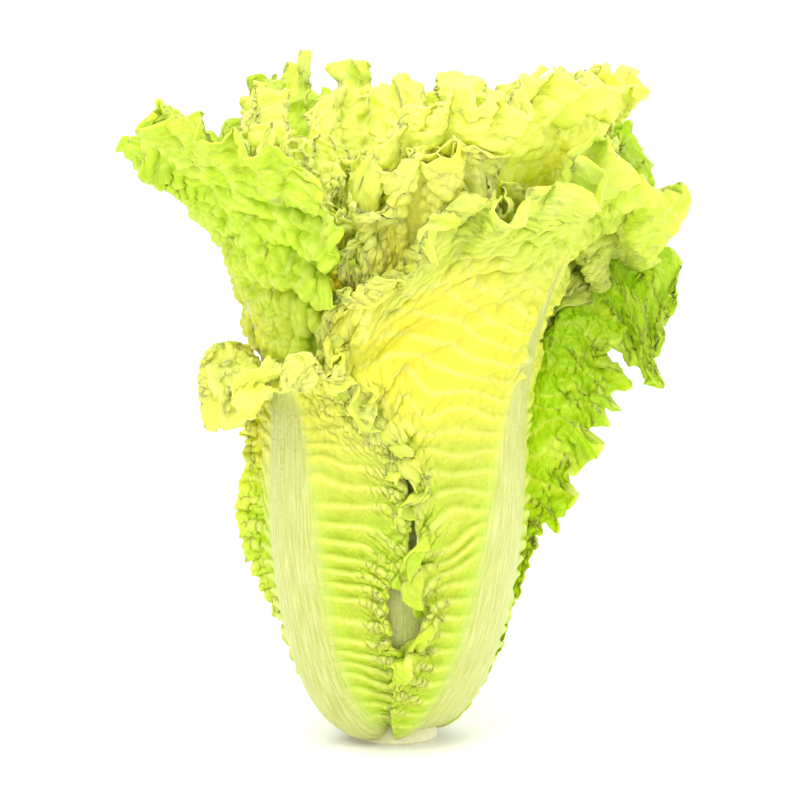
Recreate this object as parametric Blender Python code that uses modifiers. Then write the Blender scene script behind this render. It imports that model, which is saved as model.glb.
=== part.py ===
"""A whole napa cabbage head, standing on its trimmed stump.

The head is a short solid stump, the core, with leaves growing round it in nested layers. Each leaf is
one closed solid: a thick flat midrib that thins into a blade. The layers bulge into a barrel and open
into a flared crown. The origin is the middle of the cut face that the head stands on, and the front
of the head looks towards -Y. Units are metres and angles are radians.
"""

import math

import bmesh
import bpy
import numpy as np

# The core: a blunt cone of a stump whose cut face lies at z = 0.
CORE_RADIUS = 0.0210
CORE_HEIGHT = 0.080
CORE_POWER = 0.75
CUT_EDGE = 0.0015

# The barrel and the crown, as the outermost layer draws them.
BARREL_HEIGHT = 0.150
STUMP_DEPTH = 0.0745
CROWN_LENGTH = 0.208
CROWN_FLARE = math.radians(52)
FULL_DEPTH = 0.068
FLARE_POWER = 0.95

# Wall thickness of a leaf. Ribs are thinnest in the heart.
BLADE = 0.0016
RIB_AT_BASE = 0.0064
HEART_RIB_SHARE = 0.06
RIB_HALF_WIDTH = 0.021

# Packing of the layers.
LAYER_GAP = 0.0013
HEART_FOOT = 0.0006
HEART_DEPTH = 0.0105
MIDDLE_DEPTH = 0.0530
AZIMUTHS = 72
HEIGHTS = 44

TURN = math.radians(137.5)


def leaf(name, azimuth, depth, tip, low, high, **rest):
    """One leaf's plan, with angles in degrees. Depth is its least distance from the axis at the top of
    the barrel. Low and high are how far the blade reaches round the head to the left and right of its
    midrib, in the barrel and in the crown. Droop and rounded lower and narrow the tip's corners, and
    slant lowers the right side."""
    plan = {"droop": 0.22, "rounded": 0.16, "slant": 0, "flare": 1.0, "lean": 0, "cells": (12, 14)}
    plan.update(rest)
    plan.update({
        "name": name,
        "azimuth": math.radians(azimuth),
        "depth": depth,
        "tip": tip,
        "low": [math.radians(a) for a in low],
        "high": [math.radians(a) for a in high],
        "lean": math.radians(plan["lean"]),
    })
    return plan


INNER_CHANGES = {
    "middle_leaf_01": {"tip": 1.86},
    "middle_leaf_02": {"tip": 1.45},
    "middle_leaf_03": {"tip": 1.93, "flare": 1.14},
    "middle_leaf_04": {"tip": 1.86},
    "middle_leaf_05": {"tip": 1.40},
    "middle_leaf_06": {"tip": 1.86, "flare": 1.10},
    "middle_leaf_08": {"tip": 1.55},
    "heart_leaf_02": {"tip": 1.35},
}


def heart_leaves(count, first_azimuth):
    """The inner leaves, innermost first, each a golden angle round from the next."""
    found = []
    for i in range(count):
        share = i / (count - 1)
        kind = "heart" if share < 0.5 else "middle"
        number = count - i if kind == "middle" else count // 2 - i
        plan = leaf(
            f"{kind}_leaf_{number:02d}",
            math.degrees(first_azimuth + (count - i) * TURN),
            HEART_DEPTH + (MIDDLE_DEPTH - HEART_DEPTH) * share,
            tip=1.56 + 0.28 * share,
            low=(70 - 6 * share,) * 2,
            high=(78 - 4 * share,) * 2,
            droop=0.10,
            rounded=0.10,
            cells=(10 + round(2 * share), 10 + round(3 * share)),
        )
        plan.update(INNER_CHANGES.get(plan["name"], {}))
        found.append(plan)
    return found


FRONT_AZIMUTH = -84
OUTER_LEAVES = [
    leaf("outer_leaf_front", FRONT_AZIMUTH, 0.0560, 1.76, low=(60, 56), high=(26, 62)),
    leaf("outer_leaf_back", 108, 0.0585, 1.90, low=(56, 56), high=(66, 62), flare=0.95),
    leaf(
        "outer_leaf_left_back", -171, 0.0610, 1.84, low=(56, 56), high=(60, 60), flare=1.20,
        droop=0.05, rounded=0.05,
    ),
    leaf(
        "outer_leaf_left", -144, 0.0630, 1.52, low=(54, 66), high=(60, 56), droop=0.12, slant=0.20,
        flare=1.20,
    ),
    leaf("outer_leaf_right", -43, 0.0645, 1.72, low=(60, 58), high=(108, 50), lean=16, flare=1.34),
    leaf("outer_leaf_right_back", 50, 0.0660, 1.80, low=(44, 56), high=(76, 58), flare=1.45),
]
LEAVES = heart_leaves(16, math.radians(FRONT_AZIMUTH)) + OUTER_LEAVES


def clear_scene():
    for obj in list(bpy.data.objects):
        bpy.data.objects.remove(obj, do_unlink=True)


def material(name, colour, roughness):
    made = bpy.data.materials.new(name)
    made.use_nodes = True
    shader = made.node_tree.nodes["Principled BSDF"]
    shader.inputs["Base Color"].default_value = (*colour, 1)
    shader.inputs["Roughness"].default_value = roughness
    shader.inputs["Metallic"].default_value = 0
    return made


def smoothstep(x):
    x = np.clip(x, 0, 1)
    return x * x * (3 - 2 * x)


def core_radius(z):
    return CORE_RADIUS * np.clip(1 - z / CORE_HEIGHT, 0, 1) ** CORE_POWER


def profile(depth, height, flare=1.0):
    """Radius and z on the layer of this depth. Height runs 0 to 1 up the barrel, a quarter ellipse
    from the core, and 1 to 2 along the crown, an arc that bends outwards more on the outer layers."""
    share = np.clip(depth / STUMP_DEPTH, 0, 1)
    foot_z = CORE_HEIGHT * (1 - share)
    foot_r = core_radius(foot_z) + LAYER_GAP + (1 - share) * HEART_FOOT
    angle = np.clip(height, 0, 1) * math.pi / 2
    r = foot_r + (depth - foot_r) * np.sin(angle)
    z = foot_z + (BARREL_HEIGHT - foot_z) * (1 - np.cos(angle))
    bend = CROWN_FLARE * flare * np.clip(depth / FULL_DEPTH, 0.05, 1.1) ** FLARE_POWER
    turned = bend * np.clip(height - 1, 0, 1.2)
    reach = CROWN_LENGTH / bend
    return r + reach * (1 - np.cos(turned)), z + reach * np.sin(turned)


def wrapped(angle):
    return (angle + math.pi) % (2 * math.pi) - math.pi


def rib_half_width(height):
    return RIB_HALF_WIDTH * (1 - 0.86 * smoothstep((height - 0.75) / 0.80))


def wall(off_midrib, depth, height):
    """The leaf's thickness at this sideways angle from its midrib."""
    sideways = np.abs(off_midrib) * profile(depth, height)[0]
    stout = HEART_RIB_SHARE + (1 - HEART_RIB_SHARE) * np.clip(depth / FULL_DEPTH, 0, 1)
    rib = (RIB_AT_BASE - BLADE) * stout * (1 - 0.72 * smoothstep((height - 0.1) / 1.5))
    return BLADE + rib * np.exp(-((sideways / rib_half_width(height)) ** 4))


def reach(plan, side, height):
    """How far round the head the blade reaches at this height, to the left (0) or right (1)."""
    low, high = plan["low"][side], plan["high"][side]
    winged = 0.84 + 0.16 * smoothstep(height / 0.5)
    return low * winged + (high - low) * smoothstep((height - 0.85) / 0.5)


def midrib_azimuth(plan, height):
    return plan["azimuth"] + plan["lean"] * np.clip(height, 0, 1.3)


class Layers:
    """How deep the leaves placed so far reach at each azimuth and height, on an even grid."""

    def __init__(self):
        self.azimuth = np.linspace(-math.pi, math.pi, AZIMUTHS, endpoint=False)
        self.height = np.linspace(0, 2.1, HEIGHTS)
        self.filled = np.full((AZIMUTHS, HEIGHTS), HEART_DEPTH - LAYER_GAP)

    def bed(self):
        """The smooth surface that the next leaf lies on: never below what is filled already."""
        field = self.filled
        for _ in range(2):
            around = np.maximum(np.roll(field, 1, 0), np.roll(field, -1, 0))
            padded = np.pad(field, ((0, 0), (1, 1)), mode="edge")
            field = np.maximum.reduce([field, around, padded[:, 2:], padded[:, :-2]])
        for _ in range(3):
            field = (np.roll(field, 1, 0) + 2 * field + np.roll(field, -1, 0)) / 4
            padded = np.pad(field, ((0, 0), (1, 1)), mode="edge")
            field = (padded[:, 2:] + 2 * field + padded[:, :-2]) / 4
        return field

    def place(self, plan):
        """Lays a leaf on the bed. Returns the depth of its middle surface on the grid."""
        off = wrapped(self.azimuth[:, None] - midrib_azimuth(plan, self.height)[None, :])
        bed = self.bed()
        thick = wall(off, bed, self.height[None, :])
        middle = np.maximum(bed + LAYER_GAP + thick / 2, plan["depth"])
        beside = 1.5 * 2 * math.pi / AZIMUTHS
        covered = off > -reach(plan, 0, self.height) - beside
        covered &= off < reach(plan, 1, self.height) + beside
        covered &= self.height[None, :] < plan["tip"] + 0.1
        self.filled = np.where(covered, middle + thick / 2, self.filled)
        return middle

    def depth_at(self, field, azimuth, height):
        """The field between its grid points."""
        column = (azimuth + math.pi) / (2 * math.pi) * AZIMUTHS
        row = height / self.height[-1] * (HEIGHTS - 1)
        i, j = int(math.floor(column)), min(int(row), HEIGHTS - 2)
        s, t = column - i, row - j
        low = field[i % AZIMUTHS, j] * (1 - s) + field[(i + 1) % AZIMUTHS, j] * s
        high = field[i % AZIMUTHS, j + 1] * (1 - s) + field[(i + 1) % AZIMUTHS, j + 1] * s
        return low * (1 - t) + high * t


def leaf_object(plan, layers, skin, collection):
    """A leaf as a flat grid bent on to its layer, with a Solidify whose vertex group thickens the rib."""
    middle = layers.place(plan)
    across, along = plan["cells"]
    mesh = bpy.data.meshes.new(plan["name"])
    sheet = bmesh.new()
    bmesh.ops.create_grid(sheet, x_segments=across, y_segments=along, size=1)
    walls = []
    for vertex in sheet.verts:
        u, w = vertex.co.x, (vertex.co.y + 1) / 2
        lowered = (1 - plan["droop"] * abs(u) ** 2.4) * (1 - plan["slant"] * (u + 1) / 2)
        height = w * plan["tip"] * lowered
        rounded = 1 - plan["rounded"] * w**6
        off = u * reach(plan, 0 if u < 0 else 1, height) * rounded
        azimuth = float(midrib_azimuth(plan, height) + off)
        depth = layers.depth_at(middle, azimuth, height)
        radius, z = profile(depth, height, plan["flare"])
        vertex.co = (radius * math.cos(azimuth), radius * math.sin(azimuth), z)
        walls.append(float(wall(off, depth, height)))
    sheet.to_mesh(mesh)
    sheet.free()
    mesh.materials.append(skin)
    obj = bpy.data.objects.new(plan["name"], mesh)
    collection.objects.link(obj)
    group = obj.vertex_groups.new(name="wall")
    for i, thick in enumerate(walls):
        group.add([i], thick / RIB_AT_BASE, "REPLACE")
    solidify = obj.modifiers.new("wall", "SOLIDIFY")
    solidify.thickness = RIB_AT_BASE
    solidify.offset = 0
    solidify.vertex_group = group.name
    solidify.thickness_vertex_group = 0
    mesh.shade_smooth()
    return obj


def core_object(skin, collection):
    """The stump: its half outline, turned about Z with a Screw modifier."""
    outline = [(0.0, CORE_HEIGHT * 0.985)]
    for share in np.linspace(0.95, 0.04, 9):
        outline.append((float(core_radius(CORE_HEIGHT * share)), CORE_HEIGHT * float(share)))
    outline += [(CORE_RADIUS, CUT_EDGE), (CORE_RADIUS - CUT_EDGE, 0.0), (0.0, 0.0)]
    mesh = bpy.data.meshes.new("core_stump")
    mesh.from_pydata([(r, 0, z) for r, z in outline], [(i, i + 1) for i in range(len(outline) - 1)], [])
    mesh.materials.append(skin)
    obj = bpy.data.objects.new("core_stump", mesh)
    collection.objects.link(obj)
    screw = obj.modifiers.new("turned", "SCREW")
    screw.steps = screw.render_steps = 32
    screw.use_merge_vertices = True
    screw.merge_threshold = 0.0001
    return obj


def build():
    clear_scene()
    collection = bpy.data.collections.new("napa_cabbage")
    bpy.context.scene.collection.children.link(collection)
    head = bpy.data.objects.new("head", None)
    collection.objects.link(head)
    stump_skin = material("stump_flesh", (0.74, 0.72, 0.42), 0.55)
    heart_skin = material("heart_leaf", (0.82, 0.72, 0.10), 0.45)
    leaf_skin = material("green_leaf", (0.42, 0.58, 0.03), 0.45)
    core_object(stump_skin, collection).parent = head
    layers = Layers()
    for plan in LEAVES:
        skin = heart_skin if plan["name"].startswith("heart") else leaf_skin
        made = leaf_object(plan, layers, skin, collection)
        made.parent = head
    print(f"outermost layer reaches {layers.filled.max() * 1000:.1f} mm")


build()
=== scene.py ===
# %% [markdown]
# # A head of napa cabbage
#
# A napa cabbage is a stump with leaves packed round it, each one a thick flat rib with a thin blade.
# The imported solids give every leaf's place and thickness as a smooth sheet. Here each leaf is grown
# again on the same layer, this time crinkled, veined and frilled, and given its skin and colour. We
# grow them instead of drawing each fold, because real folds come from uneven growth and look right only
# when they share a cause.

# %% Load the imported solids
import math

import bpy
import numpy as np
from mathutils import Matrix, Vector


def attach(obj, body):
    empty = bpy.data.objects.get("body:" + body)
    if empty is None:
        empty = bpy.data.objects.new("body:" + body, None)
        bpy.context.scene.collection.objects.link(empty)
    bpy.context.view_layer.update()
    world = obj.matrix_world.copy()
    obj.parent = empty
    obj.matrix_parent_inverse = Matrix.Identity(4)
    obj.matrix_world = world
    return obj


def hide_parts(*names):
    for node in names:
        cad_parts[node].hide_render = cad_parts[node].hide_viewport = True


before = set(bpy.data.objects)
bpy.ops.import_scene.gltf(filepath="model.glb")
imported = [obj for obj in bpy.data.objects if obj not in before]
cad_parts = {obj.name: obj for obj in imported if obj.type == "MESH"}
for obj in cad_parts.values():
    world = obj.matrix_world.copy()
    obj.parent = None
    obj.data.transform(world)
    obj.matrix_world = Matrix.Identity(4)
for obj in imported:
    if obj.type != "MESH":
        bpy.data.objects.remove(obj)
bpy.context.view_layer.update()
print("solids:", len(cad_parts), "pieces")

# %% [markdown]
# ## The layers of the head
#
# A head is like an onion whose layers are open at the top. Every leaf lies on a layer round the axis.
# Height runs from 0 at the stump to 1 at the barrel's top and 2 at the tip of a full leaf, and depth is
# the layer's distance from the axis at the barrel's top. A leaf could be shaped freely in space, but
# with these two numbers and the compass angle a leaf can hardly leave its place between its neighbours.
# The measures are the ones that the solids were made with, in metres.

# %% The layers' measures and shape
CORE_RADIUS = 0.0210
CORE_HEIGHT = 0.080
CORE_POWER = 0.75
CUT_EDGE = 0.0015
BARREL_HEIGHT = 0.150
STUMP_DEPTH = 0.0745
CROWN_LENGTH = 0.208
CROWN_FLARE = math.radians(52)
FULL_DEPTH = 0.068
FLARE_POWER = 0.95
CAD_BLADE = 0.0016
RIB_AT_BASE = 0.0064
HEART_RIB_SHARE = 0.06
RIB_HALF_WIDTH = 0.021
LAYER_GAP = 0.0013
HEART_FOOT = 0.0006
HEART_DEPTH = 0.0105
MIDDLE_DEPTH = 0.0530
AZIMUTHS = 72
HEIGHTS = 44
TURN = math.radians(137.5)


def smoothstep(x):
    x = np.clip(x, 0, 1)
    return x * x * (3 - 2 * x)


def wrapped(angle):
    return (angle + math.pi) % (2 * math.pi) - math.pi


def core_radius(z):
    return CORE_RADIUS * np.clip(1 - z / CORE_HEIGHT, 0, 1) ** CORE_POWER


def profile(depth, height, flare=1.0):
    """Radius and z on the layer of this depth, a share of the way up."""
    share = np.clip(depth / STUMP_DEPTH, 0, 1)
    foot_z = CORE_HEIGHT * (1 - share)
    foot_r = core_radius(foot_z) + LAYER_GAP + (1 - share) * HEART_FOOT
    angle = np.clip(height, 0, 1) * math.pi / 2
    r = foot_r + (depth - foot_r) * np.sin(angle)
    z = foot_z + (BARREL_HEIGHT - foot_z) * (1 - np.cos(angle))
    bend = CROWN_FLARE * flare * np.clip(depth / FULL_DEPTH, 0.05, 1.1) ** FLARE_POWER
    turned = bend * np.clip(height - 1, 0, 1.2)
    reach = CROWN_LENGTH / bend
    return r + reach * (1 - np.cos(turned)), z + reach * np.sin(turned)


def rib_half_width(height):
    return RIB_HALF_WIDTH * (1 - 0.86 * smoothstep((height - 0.75) / 0.80))


def rib_share(off_midrib, depth, height):
    """1 on the midrib, falling to 0 in the blade, at this angle from the middle of the leaf."""
    sideways = np.abs(off_midrib) * profile(depth, height)[0]
    return np.exp(-((sideways / rib_half_width(height)) ** 4))


def rib_thickness(depth, height):
    stout = HEART_RIB_SHARE + (1 - HEART_RIB_SHARE) * np.clip(depth / FULL_DEPTH, 0, 1)
    return (RIB_AT_BASE - CAD_BLADE) * stout * (1 - 0.72 * smoothstep((height - 0.1) / 1.5))


print("barrel is", round(2000 * profile(FULL_DEPTH, 1.0)[0]), "mm across")

# %% [markdown]
# ## The plan of the leaves
#
# A leaf's plan says which way it faces, how tall it is and how far it reaches round the head, low down
# and in the crown. It also holds what the sun and rough handling did to it: how green it is at three
# heights, how pale its margin is, how ragged, and which parts have flopped over. Inner leaves follow one
# rule, because on the plant each new leaf comes a golden angle round from the last. The six outer
# leaves have grown apart, so each has a plan of its own.


# %% The plans, from the heart outwards
def leaf(name, azimuth, depth, tip, low, high, lean=0, droop=0.22, flare=1.0, **looks):
    plan = {
        "green": (0.45, 0.3, 0.2),
        "pale": 0.5,
        "ragged": 0.06,
        "frill": 1.0,
        "loose": (0, 0),
        "loose_from": 0.22,
        "slant": 0,
        "rounded": 0.16,
        "golden": (0, 0, 0),
        "notches": (),
        "curls": (),
    }
    plan.update(looks)
    plan.update(
        name=name,
        azimuth=math.radians(azimuth),
        depth=depth,
        tip=tip,
        low=[math.radians(a) for a in low],
        high=[math.radians(a) for a in high],
        lean=math.radians(lean),
        droop=droop,
        flare=flare,
    )
    return plan


INNER_CHANGES = {
    "middle_leaf_01": {"tip": 1.86, "green": (0.4, 0.3, 0.55)},
    "middle_leaf_02": {"tip": 1.45, "pale": 0.15, "green": (0.1, 0.0, 0.0)},
    "middle_leaf_03": {"tip": 1.93, "flare": 1.14, "green": (0.4, 0.1, 0.3)},
    "middle_leaf_04": {"tip": 1.86, "green": (0.3, 0.2, 0.5)},
    "middle_leaf_05": {"tip": 1.40, "pale": 0.15, "green": (0.1, 0.0, 0.25)},
    "middle_leaf_08": {"tip": 1.55},
    "middle_leaf_07": {"green": (0.2, 0.2, 0.6)},
    "heart_leaf_02": {"tip": 1.35, "pale": 0.15, "green": (0.1, 0.0, 0.0)},
    "middle_leaf_06": {"tip": 1.86, "flare": 1.10},
}


def heart_leaves(count, first_azimuth):
    """The inner leaves, innermost first, each a golden angle round from the next."""
    found = []
    for i in range(count):
        share = i / (count - 1)
        kind = "heart" if share < 0.5 else "middle"
        number = count - i if kind == "middle" else count // 2 - i
        name = f"{kind}_leaf_{number:02d}"
        plan = leaf(
            name,
            math.degrees(first_azimuth + (count - i) * TURN),
            HEART_DEPTH + (MIDDLE_DEPTH - HEART_DEPTH) * share,
            tip=1.56 + 0.28 * share,
            low=(70 - 6 * share,) * 2,
            high=(78 - 4 * share,) * 2,
            green=(0.2, 0.20 + 0.15 * share, 0.50 + 0.15 * share),
            pale=0.85,
            frill=0.85,
            droop=0.10,
            rounded=0.10,
        )
        plan.update(INNER_CHANGES.get(name, {}))
        found.append(plan)
    return found


def roll_tip(start, degrees, left=1.0, right=1.0):
    """The top of the leaf rolls outwards past this share of its length."""
    return lambda u, w, height: math.radians(degrees) * smoothstep((w - start) / (1 - start)) * (
        left + (right - left) * smoothstep((u + 0.2) / 0.9)
    )


def flap_side(side, start, degrees, low, high, ramp=0.35):
    """One side of the leaf stands off the head between two heights."""
    return lambda u, w, height: (
        math.radians(degrees)
        * smoothstep((side * u - start) / 0.3)
        * smoothstep((height - low) / ramp)
        * smoothstep((high - height) / 0.7)
    )


FRONT_AZIMUTH = -84
OUTER_LEAVES = [
    leaf(
        "outer_leaf_front", FRONT_AZIMUTH, 0.0560, 1.76, low=(60, 56), high=(26, 62),
        green=(0.5, 0.2, 0.15), pale=0.8,
    ),
    leaf(
        "outer_leaf_back", 108, 0.0585, 1.90, low=(56, 56), high=(66, 62), flare=0.95,
        green=(0.45, 0.3, 0.8), pale=0.35,
    ),
    leaf(
        "outer_leaf_left_back", -171, 0.0610, 1.84, low=(56, 56), high=(60, 60), flare=1.20,
        droop=0.05, rounded=0.05, green=(0.3, 0.45, 0.68), pale=0.15, ragged=0.10,
    ),
    leaf(
        "outer_leaf_left", -144, 0.0630, 1.52, low=(54, 66), high=(60, 56), droop=0.12, slant=0.20,
        flare=1.20, green=(0.55, 0.3, 0.2), pale=0.85, ragged=0.10, loose=(0.6, 0.4),
        notches=((1, 0.60, 0.15, 0.20),),
        curls=(
            ("tip", roll_tip(0.82, 160, right=0.0)),
            ("side", flap_side(-1, 0.62, 85, 0.45, 1.8)),
        ),
    ),
    leaf(
        "outer_leaf_right", -43, 0.0645, 1.72, low=(60, 58), high=(108, 50), lean=16, flare=1.16,
        green=(0.55, 0.50, 0.80), pale=0.5, loose=(1.0, 0.0), golden=(-0.5, 1.26, 0.5),
        notches=((0, 0.60, 0.15, 0.20),),
        curls=(
            ("tip", roll_tip(0.90, 130, left=0.0, right=1.0)),
            ("side", flap_side(1, 0.45, 45, 1.30, 2.3)),
        ),
    ),
    leaf(
        "outer_leaf_right_back", 50, 0.0660, 1.80, low=(44, 56), high=(76, 58), flare=1.22,
        green=(0.55, 0.9, 1.0), pale=0.03, ragged=0.06, loose=(0.8, 0.3), loose_from=0.6,
        curls=(("side", flap_side(-1, 0.46, 50, 0.60, 2.4, ramp=0.5)),),
    ),
]
LEAVES = heart_leaves(16, math.radians(FRONT_AZIMUTH)) + OUTER_LEAVES
print(len(LEAVES), "leaves")

# %% [markdown]
# ## Uneven growth
#
# Leaf margins grow faster than the rest of the leaf, and the extra length has nowhere to go but out of
# the sheet. Soft noise makes that growth uneven, as it is on a real plant. It is a small table of
# seeded random numbers blended smoothly, so that every run grows the same head. Blisters are the cells
# between fine veins: each puffs up, and the veins hold the creases down.


# %% Noise and grid helpers
def soft_noise(x, y, seed):
    """Smooth noise from -1 to 1, with one bump to a unit."""
    table = np.random.default_rng(seed).uniform(-1, 1, (64, 64))
    i, j = np.floor(x).astype(int), np.floor(y).astype(int)
    s, t = smoothstep(x - i), smoothstep(y - j)
    i0, j0, i1, j1 = i % 64, j % 64, (i + 1) % 64, (j + 1) % 64
    low = table[i0, j0] * (1 - s) + table[i1, j0] * s
    high = table[i0, j1] * (1 - s) + table[i1, j1] * s
    return low * (1 - t) + high * t


def blisters(x, y, seed):
    """Rounded cells packed side by side, one to a unit: 1 on a cell, 0 in the crease between two."""
    table = np.random.default_rng(seed).uniform(0.1, 0.9, (2, 64, 64))
    i, j = np.floor(x).astype(int), np.floor(y).astype(int)
    nearest = np.full(x.shape, 9.0)
    second = nearest.copy()
    for di in (-1, 0, 1):
        for dj in (-1, 0, 1):
            a, b = (i + di) % 64, (j + dj) % 64
            far = np.hypot(i + di + table[0, a, b] - x, j + dj + table[1, a, b] - y)
            second = np.minimum(second, np.maximum(nearest, far))
            nearest = np.minimum(nearest, far)
    return smoothstep((second - nearest) / 0.55)


def doubled(grid):
    """The grid with a smooth new line between every two, both ways."""
    for _ in range(2):
        ends = np.concatenate([2 * grid[:1] - grid[1:2], grid, 2 * grid[-1:] - grid[-2:-1]])
        between = (9 * (ends[1:-2] + ends[2:-1]) - ends[:-3] - ends[3:]) / 16
        fine = np.empty((2 * len(grid) - 1, *grid.shape[1:]))
        fine[::2] = grid
        fine[1::2] = between
        grid = np.swapaxes(fine, 0, 1)
    return grid


def outward_normals(points):
    across = np.gradient(points, axis=1)
    along = np.gradient(points, axis=0)
    normal = np.cross(across, along)
    normal /= np.linalg.norm(normal, axis=2, keepdims=True) + 1e-12
    return normal


def arc(points, axis):
    """Distance walked along the grid lines of one axis."""
    steps = np.linalg.norm(np.diff(points, axis=axis), axis=2)
    walked = np.cumsum(steps, axis=axis)
    pad = [(1, 0), (0, 0)] if axis == 0 else [(0, 0), (1, 0)]
    return np.pad(walked, pad)


def field_at(field, azimuth, height):
    """A field on the even azimuth and height grid, read between its points."""
    columns, rows = field.shape
    column = (azimuth + math.pi) / (2 * math.pi) * columns
    row = np.clip(height / 2.1, 0, 1) * (rows - 1)
    i = np.floor(column).astype(int)
    j = np.minimum(row.astype(int), rows - 2)
    s, t = column - i, row - j
    low = field[i % columns, j] * (1 - s) + field[(i + 1) % columns, j] * s
    high = field[i % columns, j + 1] * (1 - s) + field[(i + 1) % columns, j + 1] * s
    return low * (1 - t) + high * t


sample = soft_noise(np.linspace(0, 40, 400), np.full(400, 0.5), 1)
print("soft noise runs from", round(sample.min(), 2), "to", round(sample.max(), 2))

# %% [markdown]
# ## Outlines
#
# Each leaf starts as a square cloth of points, -1 to 1 across and 0 to 1 up. Its margin is cut back in
# lobes of a centimetre or two and teeth of a few millimetres, and the cloth is then wrapped on its layer.
# A leaf lies on whatever is already there, so the layers are filled from the heart outwards. Tops that
# have flopped and sides that stand off are turned outwards strip by strip, the way paper curls.

# %% Leaf outlines on their layers
def reach(plan, side, height):
    low, high = plan["low"][side], plan["high"][side]
    winged = 0.84 + 0.16 * smoothstep(height / 0.5)
    return low * winged + (high - low) * smoothstep((height - 0.85) / 0.5)


def midrib_azimuth(plan, height):
    return plan["azimuth"] + plan["lean"] * np.clip(height, 0, 1.3)


def bed_of(filled):
    """The smooth surface the next leaf lies on."""
    field = filled
    for _ in range(2):
        around = np.maximum(np.roll(field, 1, 0), np.roll(field, -1, 0))
        padded = np.pad(field, ((0, 0), (1, 1)), mode="edge")
        field = np.maximum.reduce([field, around, padded[:, 2:], padded[:, :-2]])
    for _ in range(3):
        field = (np.roll(field, 1, 0) + 2 * field + np.roll(field, -1, 0)) / 4
        padded = np.pad(field, ((0, 0), (1, 1)), mode="edge")
        field = (padded[:, 2:] + 2 * field + padded[:, :-2]) / 4
    return field


def layer_of(plan, filled):
    """The leaf's middle surface as a depth field, and the head filled as far as its outer face."""
    azimuth = np.linspace(-math.pi, math.pi, AZIMUTHS, endpoint=False)[:, None]
    height = np.linspace(0, 2.1, HEIGHTS)[None, :]
    off = wrapped(azimuth - midrib_azimuth(plan, height))
    bed = bed_of(filled)
    wall = CAD_BLADE + rib_thickness(bed, height) * rib_share(off, bed, height)
    middle = np.maximum(bed + LAYER_GAP + wall / 2, plan["depth"])
    beside = 1.5 * 2 * math.pi / AZIMUTHS
    covered = (off > -reach(plan, 0, height) - beside) & (off < reach(plan, 1, height) + beside)
    covered &= height < plan["tip"] + 0.1
    return middle, np.where(covered, middle + wall / 2, filled)


def curled(points, normal, angle, axis):
    """The sheet with its strips turned outwards by this angle, added up from the start of each line."""
    segment = np.diff(points, axis=axis)
    halves = [
        np.take(a, range(s, a.shape[axis] - 1 + s), axis)
        for a in (normal, angle[..., None])
        for s in (0, 1)
    ]
    facing, turn = (halves[0] + halves[1]) / 2, (halves[2] + halves[3]) / 2
    length = np.linalg.norm(segment, axis=2, keepdims=True) + 1e-12
    aside = facing - segment * (facing * segment).sum(2, keepdims=True) / length**2
    aside /= np.linalg.norm(aside, axis=2, keepdims=True) + 1e-12
    turned = np.cos(turn) * segment + np.sin(turn) * length * aside
    first = np.take(points, [0], axis)
    return np.concatenate([first, first + np.cumsum(turned, axis=axis)], axis=axis)


def smooth_sheet(plan, middle, columns, rows, seed):
    """The leaf before it crinkles: its points, and where each is on the leaf and on the head."""
    u, w = np.meshgrid(np.linspace(-1, 1, columns + 1), np.linspace(0, 1, rows + 1))
    u0, w0 = u, w
    ragged = plan["ragged"]
    along = w * plan["tip"] * 6
    lobes = np.maximum(0, soft_noise(along * 1.1 + 7, np.sign(u) * 3 + 9.5, seed)) * ragged * 1.6
    lobes = lobes + np.abs(soft_noise(along * 2.6 + 3, np.sign(u) * 3 + 9.5, seed + 4)) * 0.07
    teeth = np.abs(soft_noise(along * 6.5, np.sign(u) * 3 + 9.5, seed + 1)) * 0.04
    u = u * (1 - np.abs(u) ** 5 * (lobes + teeth) * smoothstep(w / 0.3))
    lobes = np.maximum(0, soft_noise(u * 4 + 30, 0 * u + 0.5, seed + 2)) * ragged * 0.8
    lobes = lobes + np.abs(soft_noise(u * 7 + 20, 0 * u + 0.5, seed + 5)) * 0.02
    teeth = np.abs(soft_noise(u * 24 + 30, 0 * u + 0.5, seed + 3)) * 0.012
    w = w * (1 - w**6 * (lobes + teeth))
    height = w * plan["tip"] * (1 - plan["droop"] * np.abs(u) ** 2.4) * (1 - plan["slant"] * (u + 1) / 2)
    for notch_side, at, tall, deep in plan["notches"]:
        bite = deep * np.exp(-(((height - at) / tall) ** 2)) * smoothstep((np.abs(u) - 0.3) / 0.7)
        u = np.where((u > 0) == bool(notch_side), u * (1 - bite), u)
    side = np.where(u < 0, reach(plan, 0, height), reach(plan, 1, height))
    off = u * side * (1 - plan["rounded"] * w**6)
    azimuth = midrib_azimuth(plan, height) + off
    depth = field_at(middle, azimuth, height)
    radius, z = profile(depth, height, plan["flare"])
    points = np.stack([radius * np.cos(azimuth), radius * np.sin(azimuth), z], axis=2)
    for kind, angle in plan["curls"]:
        normal = outward_normals(points)
        turn = angle(u0, w0, height)
        if kind == "tip":
            points = curled(points, normal, turn, 0)
        else:
            middle_column = columns // 2
            right = curled(points[:, middle_column:], normal[:, middle_column:], turn[:, middle_column:], 1)
            flip = slice(middle_column, None, -1)
            left = curled(points[:, flip], normal[:, flip], turn[:, flip], 1)
            points = np.concatenate([left[:, :0:-1], right], axis=1)
    places = {"u": u0, "w": w0, "height": height, "azimuth": azimuth, "off": off, "depth": depth}
    return {"points": points, **places}


foot_reach = [round(math.degrees(reach(LEAVES[-1], side, 0.0))) for side in (0, 1)]
print("the outermost leaf's foot reaches", foot_reach, "degrees left and right of its rib")

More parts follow.
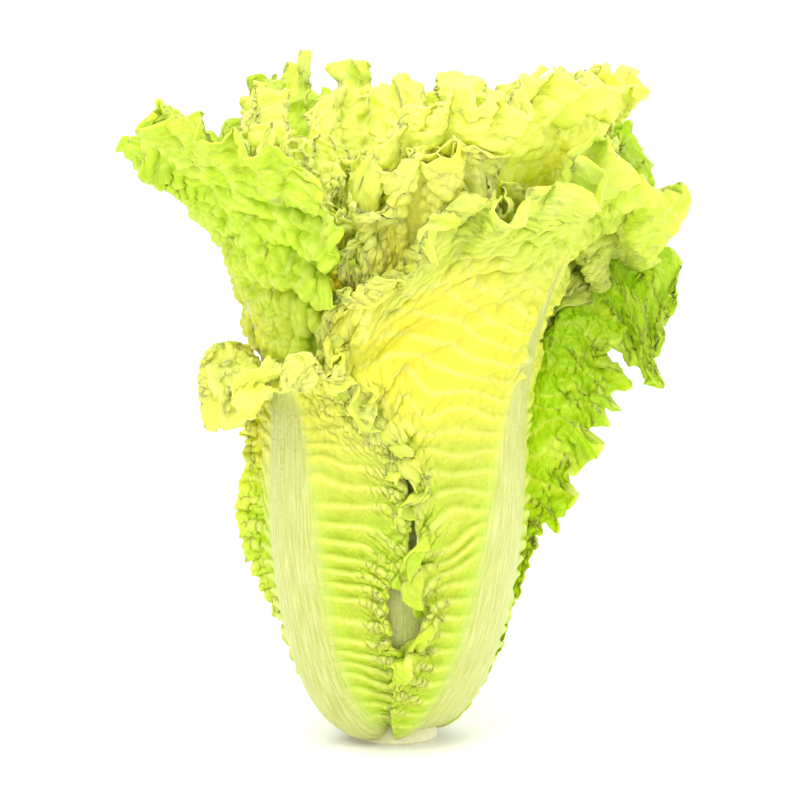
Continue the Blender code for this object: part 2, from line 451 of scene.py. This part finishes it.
# %% [markdown]
# ## Crinkling
#
# A sheet whose parts have grown too long buckles. Each leaf is a net of springs: their rest lengths grow
# most near the margin, the midrib is held in place, and the net settles over and over into ruffles. It
# settles at four sizes, from 14 mm meshes to under 2 mm, because large waves move only on a coarse net
# and small ones ride on top. A cloth simulation could do this too, but it would be slower, and here a
# floor and a ceiling keep each leaf between its neighbours.


# %% The settling net
def spring_ends(shape):
    """Pairs of slices. No two springs of one pair share a point, so all of them can move at once."""
    rows, columns = shape
    every = slice(None)
    ends = []
    for s in (0, 1):
        ends.append(((every, slice(s, columns - 1, 2)), (every, slice(s + 1, columns, 2))))
        ends.append(((slice(s, rows - 1, 2), every), (slice(s + 1, rows, 2), every)))
        lower, upper = slice(s, rows - 1, 2), slice(s + 1, rows, 2)
        ends.append(((lower, slice(0, -1)), (upper, slice(1, None))))
        ends.append(((lower, slice(1, None)), (upper, slice(0, -1))))
    return ends


def settle(points, growth, rest_on, hold, floor, ceiling, rounds, bending):
    """Lets the net find its shape. Floor and ceiling bound how far it lifts off the smooth leaf."""
    ends = spring_ends(points.shape[:2])
    grown = 1 + growth[..., None]
    rest = [
        np.linalg.norm(points[b] - points[a], axis=2, keepdims=True) * (grown[a] + grown[b]) / 2
        for a, b in ends
    ]
    normal = outward_normals(rest_on)
    for _ in range(rounds):
        for (a, b), length in zip(ends, rest):
            apart = points[b] - points[a]
            now = np.sqrt((apart * apart).sum(2, keepdims=True)) + 1e-9
            move = apart * (0.45 * (now - length) / now)
            points[a] += move
            points[b] -= move
        around = points[:-2, 1:-1] + points[2:, 1:-1] + points[1:-1, :-2] + points[1:-1, 2:]
        points[1:-1, 1:-1] += bending * (around / 4 - points[1:-1, 1:-1])
        points += hold[..., None] * (rest_on - points)
        lift = ((points - rest_on) * normal).sum(2)
        mend = np.clip(lift, floor, ceiling) - lift
        points += 0.6 * mend[..., None] * normal
    return points


# For each net, coarse to fine: how far in from the margin the extra growth reaches, how much margin
# and blade grow, for how many rounds it settles, how stiff it is and how firmly it is held in place.
NETS = [
    (0.034, 0.12, 0.02, 100, 0.06, 0.012),
    (0.022, 0.32, 0.03, 90, 0.06, 0.006),
    (0.013, 0.40, 0.03, 70, 0.06, 0.004),
    (0.007, 0.32, 0.00, 40, 0.10, 0.004),
]
FIRST_COLUMNS, FIRST_ROWS = 14, 26
FIRST_MESH = 0.014


def crinkled(plan, middle, crest, seed):
    """The whole growth of one leaf, from large waves to small."""
    columns, rows = FIRST_COLUMNS, FIRST_ROWS
    shift = None
    for level, (size, on_margin, on_blade, rounds, bending, firmness) in enumerate(NETS):
        sheet = smooth_sheet(plan, middle, columns, rows, seed)
        base = sheet["points"]
        points = base.copy() if shift is None else base + doubled(shift)
        half_width = np.abs(arc(base, 1) - arc(base, 1)[:, columns // 2 : columns // 2 + 1])
        to_side = np.where(sheet["u"] < 0, half_width[:, :1], half_width[:, -1:]) - half_width
        along = arc(base, 0)
        to_tip = along[-1:] - along
        to_margin = np.minimum(to_side, to_tip)
        crown = smoothstep((sheet["height"] - 0.80) / 0.45)
        loose = np.where(sheet["u"] < 0, *plan["loose"])
        freed = smoothstep((sheet["height"] - plan["loose_from"]) / 0.3)
        crown = np.maximum(crown, loose * freed * np.exp(-((to_side / 0.030) ** 2)))
        margin = np.exp(-((to_margin / size) ** 1.5)) * (0.25 + 0.75 * crown)
        waves = 0.8 + 0.5 * soft_noise(along * 22 + 3, half_width * 22 + 5, seed + 10 + level)
        growth = plan["frill"] * waves * (on_margin * margin + on_blade * crown)
        rib = rib_share(sheet["off"], sheet["depth"], sheet["height"])
        hold = 0.35 * rib + 0.11 * (1 - crown) + firmness
        cell = FIRST_MESH / 2**level
        wave = 3.2 * cell
        bumps = soft_noise(along / wave, half_width * np.sign(sheet["u"]) / wave, seed + 20 + level)
        nudge = bumps * cell * 0.35 * (margin + 0.4 * crown) * (1 - rib)
        points += outward_normals(points) * nudge[..., None]
        room = 0.0025 + 0.017 * crown * (0.30 + 0.70 * margin)
        floor = field_at(crest, sheet["azimuth"], sheet["height"]) + 0.0008 - sheet["depth"]
        floor = np.clip(floor, -room, room - 0.001)
        points = settle(points, growth, base, hold, floor, room, rounds, bending)
        shift = points - base
        columns, rows = columns * 2, rows * 2
    lift = (shift * outward_normals(base)).sum(2)
    fine = smooth_sheet(plan, middle, columns, rows, seed)
    return {**fine, "points": fine["points"] + doubled(shift)}, sheet, lift


def raise_crest(crest, sheet, lift):
    """Marks how far out this leaf's ruffles now stand, for the next leaf to lie on."""
    columns, rows = crest.shape
    i = np.round((sheet["azimuth"] + math.pi) / (2 * math.pi) * columns).astype(int) % columns
    j = np.clip(np.round(sheet["height"] / 2.1 * (rows - 1)).astype(int), 0, rows - 1)
    np.maximum.at(crest, (i, j), sheet["depth"] + lift)
    around = np.maximum(np.roll(crest, 1, 0), np.roll(crest, -1, 0))
    return np.maximum(crest, around - 0.0015)


print("the springs move in", len(spring_ends((27, 15))), "groups, one after another")

# %% [markdown]
# ## Veins, pillows and the solid leaf
#
# In the barrel the blade swells into pillows between side veins that run out from the rib every 8 to
# 9 mm. In the crown it swells into blisters of about 10 mm with smaller ones of 4 mm on them. Both are
# drawn at about their real size. The sheet then gets its two faces: 0.7 mm apart in the blade, and over 5 mm
# at the foot of the rib, where a real leaf is thickest and full of water.

# %% Fine relief and the closed shell
BLADE_THICKNESS = 0.0007
PILLOW = 0.0085
PILLOW_HEIGHT = 0.0026
BLISTERS_PER_METRE = 100
SMALL_BLISTERS_PER_METRE = 230
BLISTER_HEIGHT = 0.0030


def golden_patch(plan, fine):
    """Where a leaf that was covered until lately is still smooth and yellow."""
    at_u, at_height, gold = plan["golden"]
    return gold * np.exp(-(((fine["u"] - at_u) / 0.5) ** 2) - ((fine["height"] - at_height) / 0.2) ** 2)


def relief(plan, fine, seed):
    """Height of the pillows and blisters, and the leaf's own measures in metres."""
    points = fine["points"]
    u = fine["u"]
    middle_column = (points.shape[1] - 1) // 2
    walked = arc(points, 1)
    across = walked - walked[:, middle_column : middle_column + 1]
    along = np.interp(fine["height"], fine["height"][:, middle_column], arc(points, 0)[:, middle_column])
    rib = rib_share(fine["off"], fine["depth"], fine["height"])
    crown = smoothstep((fine["height"] - 0.85) / 0.5)
    away = np.abs(across)
    slope = 0.10 + 4.0 * np.maximum(0, along - 0.12)
    warp = soft_noise(away * 45 + 3, along * 45 + np.sign(u) * 7, seed + 30)
    vein = (along - slope * away + 2.5 * away**2) / PILLOW + 0.7 * warp
    step = vein - np.floor(vein)
    shingle = np.minimum(step / 0.78, (1 - step) / 0.22)
    blade = (1 - rib) ** 2
    edge = np.minimum(1 - np.abs(u), 1 - fine["w"])
    fade = smoothstep(edge / 0.12)
    plump = 0.75 + 0.5 * soft_noise(across * 60 + 9, along * 60, seed + 33)
    height = PILLOW_HEIGHT * plump * smoothstep(shingle) * blade * (0.25 + 0.75 * fade) * (1 - 0.85 * crown)
    height += 0.0007 * soft_noise(across * 190, along * 190, seed + 31) * blade
    bent = 0.004 * soft_noise(across * 90, along * 90, seed + 34)
    large, small = BLISTERS_PER_METRE, SMALL_BLISTERS_PER_METRE
    puffs = 0.7 * blisters((across + bent) * large, (along - bent) * large, seed + 32)
    puffs += 0.3 * blisters((across - bent) * small, (along + bent) * small, seed + 35)
    smooth = golden_patch(plan, fine)
    height += BLISTER_HEIGHT * puffs * blade * crown * (1 - 1.6 * smooth)
    ridge = np.exp(-(((step - 0.78) / 0.10) ** 2)) * blade * (0.5 - 0.2 * crown + smooth)
    # The last value marks the creases, between blisters in the crown and pillows in the barrel, where the
    # skin's green gets painted shade.
    return height, across, along, rib, ridge, puffs * crown + (1 - crown) * smoothstep(shingle)


def shell_mesh(name, points, thickness):
    """A closed leaf: the sheet's outer and inner faces and the rim between them."""
    rows, columns = points.shape[:2]
    normal = outward_normals(points)
    half = normal * (thickness / 2)[..., None]
    corners = np.concatenate([(points + half).reshape(-1, 3), (points - half).reshape(-1, 3)])
    corners[:, 2] = np.maximum(corners[:, 2], 0.0)
    index = np.arange(rows * columns).reshape(rows, columns)
    a, b, c, d = index[:-1, :-1], index[:-1, 1:], index[1:, 1:], index[1:, :-1]
    outer = np.stack([a, b, c, d], axis=2).reshape(-1, 4)
    inner = outer[:, ::-1] + rows * columns
    loop = np.concatenate([index[0, :-1], index[:-1, -1], index[-1, :0:-1], index[:0:-1, 0]])
    after = np.roll(loop, -1)
    rim = np.stack([after, loop, loop + rows * columns, after + rows * columns], axis=1)
    faces = np.concatenate([outer, inner, rim])
    mesh = bpy.data.meshes.new(name)
    mesh.vertices.add(len(corners))
    mesh.vertices.foreach_set("co", corners.astype(np.float32).ravel())
    mesh.loops.add(faces.size)
    mesh.loops.foreach_set("vertex_index", faces.astype(np.int32).ravel())
    mesh.polygons.add(len(faces))
    mesh.polygons.foreach_set("loop_start", np.arange(0, faces.size, 4, dtype=np.int32))
    mesh.update(calc_edges=True)
    mesh.validate()
    mesh.shade_smooth()
    return mesh


def paint(mesh, name, values):
    """A number for every point of the leaf, the same on both faces, for the skin to read."""
    layer = mesh.attributes.new(name, "FLOAT", "POINT")
    flat = np.concatenate([values.ravel(), values.ravel()])
    layer.data.foreach_set("value", flat.astype(np.float32))


def colour_fields(plan, fine, across, along, puffs, seed):
    """How green and how pale the blade is at each point; the creases get a deeper green as painted shade."""
    low, mid, high = plan["green"]
    up = smoothstep((fine["height"] - 0.7) / 0.5)
    top = smoothstep((fine["height"] - 1.25) / 0.5)
    green = low + (mid - low) * up + (high - mid) * top
    green = green - golden_patch(plan, fine)
    # The 0.17 share of (1 - puffs) is painted shade: creases between blisters and pillows get a deeper
    # green. The noise is the leaf's own uneven tone.
    green = green + 0.16 * soft_noise(across * 25 + 40, along * 25, seed + 40) + 0.17 * (1 - puffs)
    edge = np.minimum(1 - np.abs(fine["u"]), 1 - fine["w"])
    pale = plan["pale"] * (0.25 + 0.75 * np.exp(-((edge / 0.16) ** 2))) * (0.15 + 0.85 * up)
    pale = pale * (1 + 0.5 * soft_noise(across * 40 + 10, along * 40, seed + 41))
    return np.clip(green, 0, 1), np.clip(pale, 0, 1)


foot_of_rib = BLADE_THICKNESS + rib_thickness(FULL_DEPTH, 0.0)
print("an outer rib is", round(1000 * foot_of_rib, 1), "mm thick at its foot")

# %% [markdown]
# ## Skins
#
# A fresh cabbage leaf has a waxy skin over wet, thin flesh. Light enters, spreads for a few millimetres
# and comes out yellow-green, so the creases glow instead of going black. That is why the leaf's skin is
# mostly subsurface light under a soft shine. The wax has an IOR of about 1.42. Colours are written as
# hex codes, the way a paint chart gives them.


# %% Colours and node helper
def linear(code):
    """A hex colour as the renderer's linear numbers."""
    parts = [int(code[i : i + 2], 16) / 255 for i in (1, 3, 5)]
    return (*[p / 12.92 if p <= 0.04045 else ((p + 0.055) / 1.055) ** 2.4 for p in parts], 1)


def node(tree, kind, inputs=None, stops=(), **settings):
    """Adds a node with its settings. An input is a value, or the output socket to link from."""
    made = tree.nodes.new(kind)
    for key, value in settings.items():
        setattr(made, key, value)
    for at, _ in stops[1:-1]:
        made.color_ramp.elements.new(at)
    for element, (at, code) in zip(made.color_ramp.elements if stops else (), stops):
        element.position = at
        element.color = linear(code)
    for key, value in (inputs or {}).items():
        if isinstance(value, bpy.types.NodeSocket):
            tree.links.new(value, made.inputs[key])
        else:
            made.inputs[key].default_value = value
    return made


# A Mix node has a set of sockets for each kind of data. These are the ones for colours.
MIX_FACTOR, MIX_FIRST, MIX_SECOND, MIX_RESULT = 0, 6, 7, 2
print("a fresh blade's green in linear numbers:", [round(c, 3) for c in linear("#A6CA16")[:3]])

# %% [markdown]
# ### The leaf's skin
#
# Colour follows how much light a part of the leaf saw: yellow where it was covered, green where it
# stood in the sun, pale at the young margins. The creases between pillows and blisters are also
# painted a deeper green, as shade. Those shares were worked out point by point as the leaf grew,
# and the skin reads them. On top come what the eye finds close up: the net of the finest veins,
# 4 mm apart, paler than the blade, and the lengthwise fibres of the rib, drawn about 1 mm wide,
# which is coarser than the real ones so that they show.

# %% The leaf's skin
BLADE_GREENS = [
    (0.0, "#F2D60A"),  # covered, no light: butter yellow
    (0.25, "#EEE62C"),
    (0.5, "#BFCE3A"),  # the barrel's blades
    (0.75, "#A6CA16"),
    (1.0, "#90B80A"),  # outermost, full sun
]
PALE_MARGIN = "#EFFA76"
VEIN_NET = "#EEF470"
SIDE_VEIN = "#DCE67C"
RIB_STREAKS = [(0.35, "#B4BA62"), (0.65, "#CFD188")]
VEINS_PER_METRE = 230.0
FIBRES_PER_METRE = 900.0


def leaf_skin(name):
    made = bpy.data.materials.new(name)
    made.use_nodes = True
    tree = made.node_tree
    tree.nodes.clear()
    read = {
        key: node(tree, "ShaderNodeAttribute", attribute_name=key).outputs["Fac"]
        for key in ("green", "pale", "rib", "ridge")
    }
    place = node(tree, "ShaderNodeAttribute", attribute_name="leaf_place").outputs["Vector"]
    cells = node(
        tree,
        "ShaderNodeTexVoronoi",
        {"Vector": place, "Scale": VEINS_PER_METRE},
        feature="DISTANCE_TO_EDGE",
    ).outputs["Distance"]
    net = node(
        tree,
        "ShaderNodeMapRange",
        {"Value": cells, "From Min": 0.0, "From Max": 0.14, "To Min": 0.15, "To Max": 0.0},
    ).outputs["Result"]
    # Squeezing the pattern along the leaf to 6 % draws it out into fibres.
    drawn_out = node(
        tree, "ShaderNodeVectorMath", {0: place, 1: (1.0, 0.06, 1.0)}, operation="MULTIPLY"
    ).outputs[0]
    fibres = node(
        tree, "ShaderNodeTexNoise", {"Vector": drawn_out, "Scale": FIBRES_PER_METRE, "Detail": 3.0}
    ).outputs["Fac"]
    streaks = node(tree, "ShaderNodeValToRGB", {"Fac": fibres}, RIB_STREAKS).outputs["Color"]
    # The green share also carries painted shade: creases sit further up this ramp, in a deeper green.
    colour = node(tree, "ShaderNodeValToRGB", {"Fac": read["green"]}, BLADE_GREENS).outputs["Color"]
    # The order in which a painter would lay them: pale margin, vein net, side veins, rib.
    for share, over in (
        (read["pale"], linear(PALE_MARGIN)),
        (net, linear(VEIN_NET)),
        (read["ridge"], linear(SIDE_VEIN)),
        (read["rib"], streaks),
    ):
        colour = node(
            tree,
            "ShaderNodeMix",
            {MIX_FACTOR: share, MIX_FIRST: colour, MIX_SECOND: over},
            data_type="RGBA",
        ).outputs[MIX_RESULT]
    puffs = node(
        tree,
        "ShaderNodeMapRange",
        {"Value": cells, "From Min": 0.0, "From Max": 0.35, "To Min": 0.0, "To Max": 1.0},
        interpolation_type="SMOOTHSTEP",
    ).outputs["Result"]
    bump = node(tree, "ShaderNodeBump", {"Strength": 0.5, "Distance": 0.0006, "Height": puffs})
    bump = node(
        tree,
        "ShaderNodeBump",
        {"Strength": 0.25, "Distance": 0.0003, "Height": fibres, "Normal": bump.outputs["Normal"]},
    )
    shader = node(
        tree,
        "ShaderNodeBsdfPrincipled",
        {
            "Base Color": colour,
            "Roughness": 0.42,  # a waxy leaf's broad soft shine
            "IOR": 1.42,
            "Specular IOR Level": 0.28,
            "Subsurface Weight": 0.65,
            # Red and green light travel 3 to 4 mm in wet leaf, blue hardly 1 mm.
            "Subsurface Radius": (0.0035, 0.0040, 0.0012),
            "Subsurface Scale": 1.0,
            "Normal": bump.outputs["Normal"],
        },
    )
    output = node(tree, "ShaderNodeOutputMaterial")
    tree.links.new(shader.outputs[0], output.inputs["Surface"])
    print(name, "skin has", len(tree.nodes), "nodes")
    return made


green_skin = leaf_skin("green_leaf")
heart_skin = leaf_skin("heart_leaf")

# %% [markdown]
# ## Growing the head
#
# The leaves are grown from the heart outwards, in the order in which they lie. Each one takes the bed
# that the earlier ones left, and marks how far out its own ruffles stand for the next. Its shares of
# green, pale, rib and vein are painted on its points, with its own measures, so that the patterns of its
# skin follow the leaf through every fold.


# %% Grow every leaf
def grow_leaf(plan, number, filled, crest):
    middle, filled = layer_of(plan, filled)
    seed = 100 * number + 17
    fine, sheet, lift = crinkled(plan, middle, crest, seed)
    crest = raise_crest(crest, sheet, lift)
    height, across, along, rib, ridge, puffs = relief(plan, fine, seed)
    points = fine["points"] + outward_normals(fine["points"]) * height[..., None]
    # The rib runs higher in the outer leaves, and ends before the tip.
    rib_end = 1.35 if plan["name"].startswith("outer") else 1.0
    rib = rib * (1 - smoothstep((fine["height"] - rib_end) / 0.5))
    rib = rib * (1 - smoothstep((fine["w"] - 0.80) / 0.15))
    thickness = BLADE_THICKNESS + rib_thickness(fine["depth"], fine["height"]) * rib
    mesh = shell_mesh(plan["name"] + "_leaf_mesh", points, thickness)
    # The creases in puffs get painted shade in the green share.
    green, pale = colour_fields(plan, fine, across, along, puffs, seed)
    shares = {"green": green, "pale": pale, "rib": smoothstep(rib * 1.1), "ridge": ridge}
    for name, values in shares.items():
        paint(mesh, name, values)
    place = np.stack([across, along, 0 * along + number], axis=2).reshape(-1, 3)
    layer = mesh.attributes.new("leaf_place", "FLOAT_VECTOR", "POINT")
    layer.data.foreach_set("vector", np.concatenate([place, place]).astype(np.float32).ravel())
    is_heart = plan["name"].startswith("heart")
    mesh.materials.append(heart_skin if is_heart else green_skin)
    obj = bpy.data.objects.new("crinkled_" + plan["name"], mesh)
    bpy.context.scene.collection.objects.link(obj)
    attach(obj, "root")
    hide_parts(plan["name"])
    return filled, crest, len(mesh.polygons)


filled = np.full((AZIMUTHS, HEIGHTS), HEART_DEPTH - LAYER_GAP)
crest = np.full((144, 85), HEART_DEPTH - LAYER_GAP)
faces = 0
for number, plan in enumerate(LEAVES):
    filled, crest, count = grow_leaf(plan, number, filled, crest)
    faces += count
print(len(LEAVES), "leaves grown,", faces, "faces")

# %% [markdown]
# ## The stump
#
# The stump's solid already has its real shape, so it stays, and gets the skin of a knife-cut stem: pale
# and matt, with a faint mottle of 6 mm where the cut cells have dried unevenly.


# %% The stump
def stump_skin():
    made = bpy.data.materials.new("cut_stump")
    made.use_nodes = True
    tree = made.node_tree
    shader = tree.nodes["Principled BSDF"]
    place = node(tree, "ShaderNodeTexCoord").outputs["Object"]
    mottled = node(
        tree, "ShaderNodeTexNoise", {"Vector": place, "Scale": 160.0, "Detail": 4.0}
    ).outputs["Fac"]
    flesh = node(tree, "ShaderNodeValToRGB", {"Fac": mottled}, [(0.3, "#DCD6A0"), (0.7, "#EFEBC8")])
    tree.links.new(flesh.outputs["Color"], shader.inputs["Base Color"])
    shader.inputs["Roughness"].default_value = 0.5
    shader.inputs["Subsurface Weight"].default_value = 0.3
    shader.inputs["Subsurface Radius"].default_value = (0.004, 0.004, 0.002)
    shader.inputs["Subsurface Scale"].default_value = 1.0
    return made


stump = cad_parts["core_stump"]
stump.data.materials.clear()
stump.data.materials.append(stump_skin())
print("stump is", round(2000 * CORE_RADIUS), "mm across at the cut")

# %% [markdown]
# ## The studio
#
# Fresh produce is shown on white, so that nothing tints its greens. Large soft lights keep shadows
# gentle: a key from the front left, a fill from the right, one from above to reach into the crown, and
# one behind to light the thin margins through. The lens is long and the camera stands a little above
# the head, as a person looks at it on a table.

# %% Floor, lights and camera
def stage_floor():
    bpy.ops.mesh.primitive_plane_add(size=120, location=(0, 0, 0))
    floor = bpy.context.object
    floor.name = "floor"
    made = bpy.data.materials.new("pale_floor")
    made.use_nodes = True
    shader = made.node_tree.nodes["Principled BSDF"]
    shader.inputs["Base Color"].default_value = linear("#F7F7F7")
    shader.inputs["Roughness"].default_value = 0.7
    floor.data.materials.append(made)


def soft_light(name, at, size, power):
    light = bpy.data.lights.new(name, "AREA")
    light.shape = "SQUARE"
    light.size = size
    light.energy = power
    obj = bpy.data.objects.new(name, light)
    bpy.context.scene.collection.objects.link(obj)
    obj.location = at
    aim(obj, (0, 0, 0.17))


def aim(obj, target):
    obj.rotation_euler = (Vector(target) - obj.location).to_track_quat("-Z", "Y").to_euler()


stage_floor()
soft_light("key", (-0.9, -1.4, 1.5), 1.4, 15)
soft_light("fill", (1.4, -1.1, 0.7), 1.6, 9)
soft_light("top", (0, -0.5, 1.6), 1.0, 11)
soft_light("rim", (0.4, 1.5, 1.3), 1.2, 8)
world = bpy.data.worlds.new("studio")
bpy.context.scene.world = world
world.use_nodes = True
world.node_tree.nodes["Background"].inputs["Color"].default_value = (1, 1, 1, 1)
world.node_tree.nodes["Background"].inputs["Strength"].default_value = 1.10
bpy.context.scene.view_settings.view_transform = "Standard"

CAMERA_DISTANCE = 1.6
CAMERA_TILT = math.radians(8)
AIM_HEIGHT = 0.171
camera = bpy.data.cameras.new("camera")
camera.lens = 145
camera.sensor_width = 36
view = bpy.data.objects.new("camera", camera)
bpy.context.scene.collection.objects.link(view)
view.location = (
    0,
    -CAMERA_DISTANCE * math.cos(CAMERA_TILT),
    AIM_HEIGHT + CAMERA_DISTANCE * math.sin(CAMERA_TILT),
)
aim(view, (0.002, 0, AIM_HEIGHT))
bpy.context.scene.camera = view
print("the camera stands", round(view.location.z, 2), "m up and", round(-view.location.y, 2), "m back")
